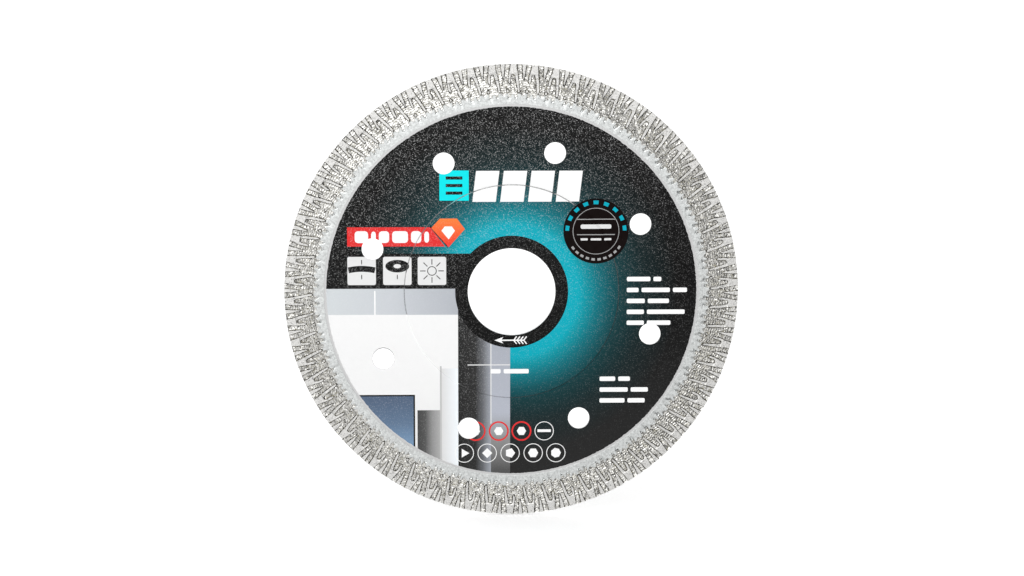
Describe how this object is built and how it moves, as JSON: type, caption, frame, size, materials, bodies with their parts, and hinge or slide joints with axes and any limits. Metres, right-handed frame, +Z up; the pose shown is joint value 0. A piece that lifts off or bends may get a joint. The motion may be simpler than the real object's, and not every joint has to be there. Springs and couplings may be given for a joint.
{
  "type": "diamond blade",
  "caption": "Thin round continuous rim diamond blade for tile, with a mesh patterned sintered rim, a reinforced hub, a round arbor bore, cooling holes and a dark printed face.",
  "frame": {"origin": "centre of the arbor bore, halfway through the thickness of the steel core", "axes": "+Y along the spin axis from the printed front to the back, +Z up across the blade as it stands on its rim, +X to the right as seen from the front"},
  "size_m": [0.115, 0.0018, 0.115],
  "materials": {
    "core_steel": "bright ground steel, bare at the edge of the print, in the bore and in the cooling holes",
    "foot_metal": "smooth pressed and sintered metal powder without diamond",
    "diamond_metal": "light grey sintered metal powder with fine exposed diamond grit",
    "printed_lacquer": "satin black printed lacquer with metallic fleck and a blue-green glow round the hub",
    "sticker_film": "dark satin sticker film"
  },
  "bodies": {
    "root": {"core_plate": "core_steel", "front_flange_plate": "core_steel", "back_flange_plate": "core_steel", "rim_foot_ring": "foot_metal", "diamond_rim": "diamond_metal", "front_print_film": "printed_lacquer", "back_print_film": "printed_lacquer", "round_sticker": "sticker_film"}
  },
  "joints": []
}
